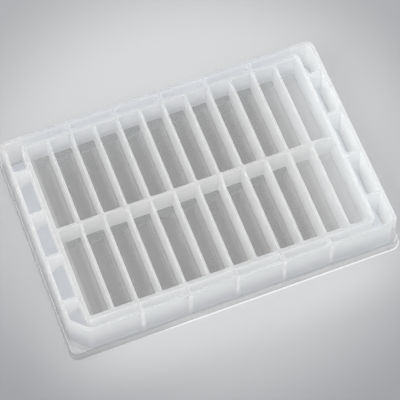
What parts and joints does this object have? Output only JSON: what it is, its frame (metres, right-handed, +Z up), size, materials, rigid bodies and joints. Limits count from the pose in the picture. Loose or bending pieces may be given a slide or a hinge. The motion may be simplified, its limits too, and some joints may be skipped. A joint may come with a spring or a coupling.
{
  "type": "reagent reservoir",
  "caption": "Low-profile reagent reservoir in milky plastic: two rows of hopper-bottomed troughs on ribs inside a skirted frame with one chamfered corner.",
  "frame": {"origin": "middle of the footprint, on the surface the skirt stands on", "axes": "+X along the rows of troughs, +Y across them towards the back row, +Z up; the chamfered corner is at -X -Y"},
  "size_m": [0.1278, 0.0854, 0.0186],
  "materials": {
    "tray_plastic": "translucent milky, satin"
  },
  "bodies": {
    "root": {"reservoir_tray": "tray_plastic"}
  },
  "joints": []
}
